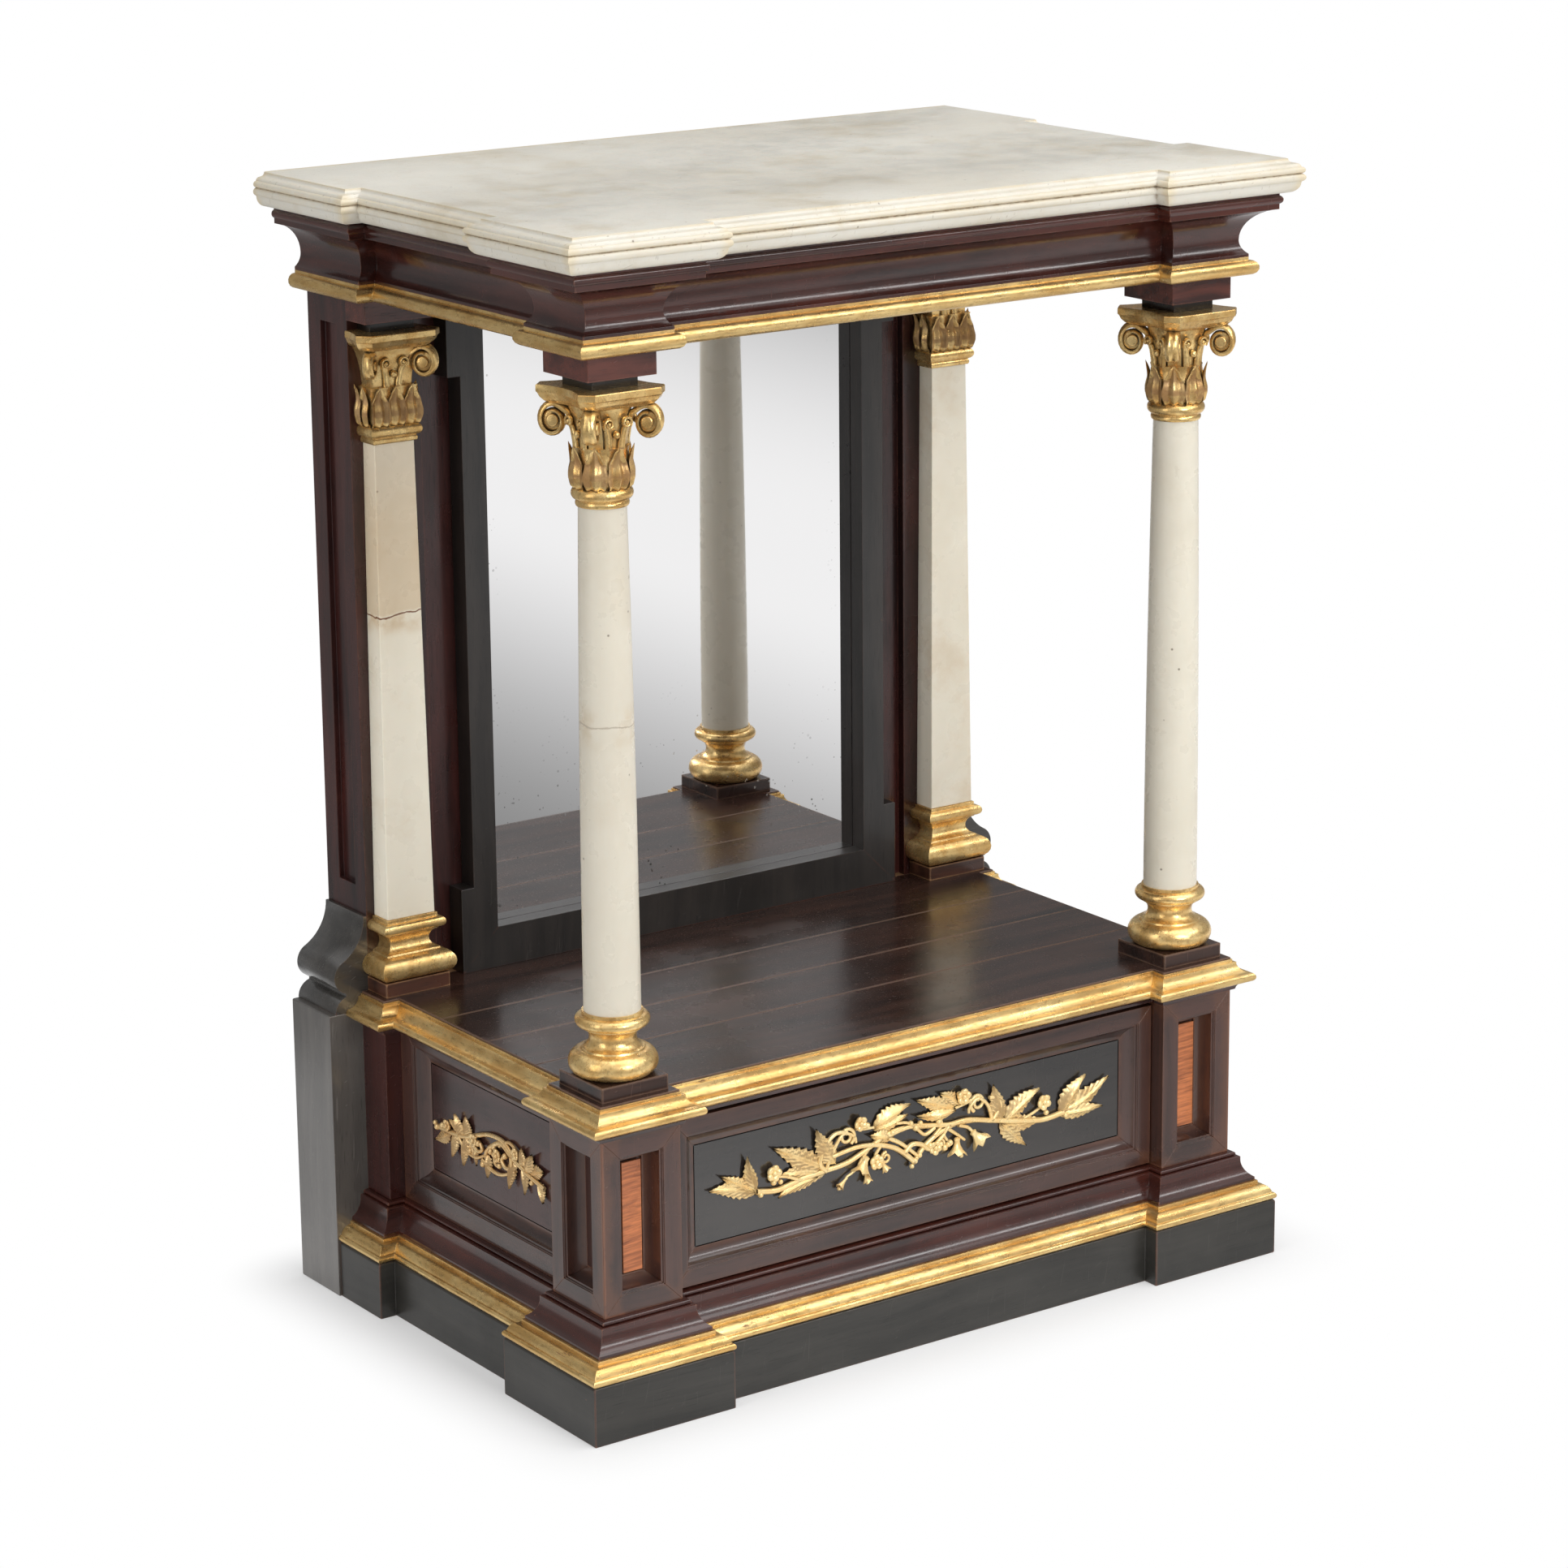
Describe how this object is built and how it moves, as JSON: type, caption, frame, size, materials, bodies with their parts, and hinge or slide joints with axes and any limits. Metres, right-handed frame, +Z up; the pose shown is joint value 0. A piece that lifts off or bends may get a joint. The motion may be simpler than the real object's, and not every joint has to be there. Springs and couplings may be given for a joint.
{
  "type": "pier table",
  "caption": "Breakfront pier table with a moulded marble top, gilt Corinthian columns and pilasters, a mirrored back, a shelf and a hidden frieze drawer in the base.",
  "frame": {"origin": "middle of the whole table's footprint, on the floor", "axes": "+X to the right as seen from the front, +Y to the back, which goes against the wall, +Z up"},
  "size_m": [0.724, 0.478, 0.962],
  "materials": {
    "marble_top": "polished ivory marble with faint grey veins",
    "column_marble": "polished white marble with fine veins",
    "gilt_wood": "worn water gilding over gesso and red bole",
    "gilt_bronze": "chased and mercury gilded",
    "mahogany": "French polished",
    "dark_mahogany": "dark French polished",
    "ebonised_wood": "ebonised and polished, rubbed at the edges",
    "veneer_inlay": "figured veneer, polished",
    "mirror_glass": "old silvered plate",
    "carcass_wood": "plain planed secondary wood",
    "iron": "plain"
  },
  "bodies": {
    "carcass": {"back_panel": "carcass_wood", "back_post_left": "mahogany", "back_post_right": "mahogany", "back_rail": "carcass_wood", "base_gilt_moulding": "gilt_wood", "base_moulding": "mahogany", "bottom_board": "carcass_wood", "column_base_left": "gilt_wood", "column_base_right": "gilt_wood", "column_blocks": "mahogany", "column_capital_left": "gilt_wood", "column_capital_right": "gilt_wood", "column_dowels": "iron", "column_plinths": "dark_mahogany", "column_shaft_left": "column_marble", "column_shaft_right": "column_marble", "cornice_gilt_moulding": "gilt_wood", "cornice_moulding": "mahogany", "drawer_kickers": "carcass_wood", "drawer_runners": "carcass_wood", "drawer_stops": "carcass_wood", "front_pier_left": "mahogany", "front_pier_right": "mahogany", "marble_top": "marble_top", "mirror_backboard": "mahogany", "mirror_frame": "ebonised_wood", "mirror_glass": "mirror_glass", "pier_inlays": "veneer_inlay", "pilaster_bases": "gilt_wood", "pilaster_blocks": "mahogany", "pilaster_capital_left": "gilt_wood", "pilaster_capital_right": "gilt_wood", "pilaster_plinths": "dark_mahogany", "pilaster_shafts": "column_marble", "plinth_front": "ebonised_wood", "plinth_sides": "ebonised_wood", "post_brackets": "mahogany", "rear_piers": "mahogany", "rear_slabs": "ebonised_wood", "shelf_bed_moulding": "mahogany", "shelf_board_1": "dark_mahogany", "shelf_board_2": "dark_mahogany", "shelf_board_3": "dark_mahogany", "shelf_board_4": "dark_mahogany", "shelf_gilt_moulding": "gilt_wood", "side_frame_left": "mahogany", "side_frame_right": "mahogany", "side_mount_left": "gilt_bronze", "side_mount_right": "gilt_bronze", "side_panels": "dark_mahogany", "soffit_board": "carcass_wood", "top_frame": "carcass_wood", "top_rail": "carcass_wood"},
    "drawer": {"drawer_back": "carcass_wood", "drawer_bottom": "carcass_wood", "drawer_front": "mahogany", "drawer_mount": "gilt_bronze", "drawer_panel": "ebonised_wood", "drawer_sides": "carcass_wood"}
  },
  "joints": [
    {"name": "drawer_slide", "type": "slide", "parent": "carcass", "child": "drawer", "axis": [0, -1, 0], "range_m": [0, 0.2]}
  ]
}
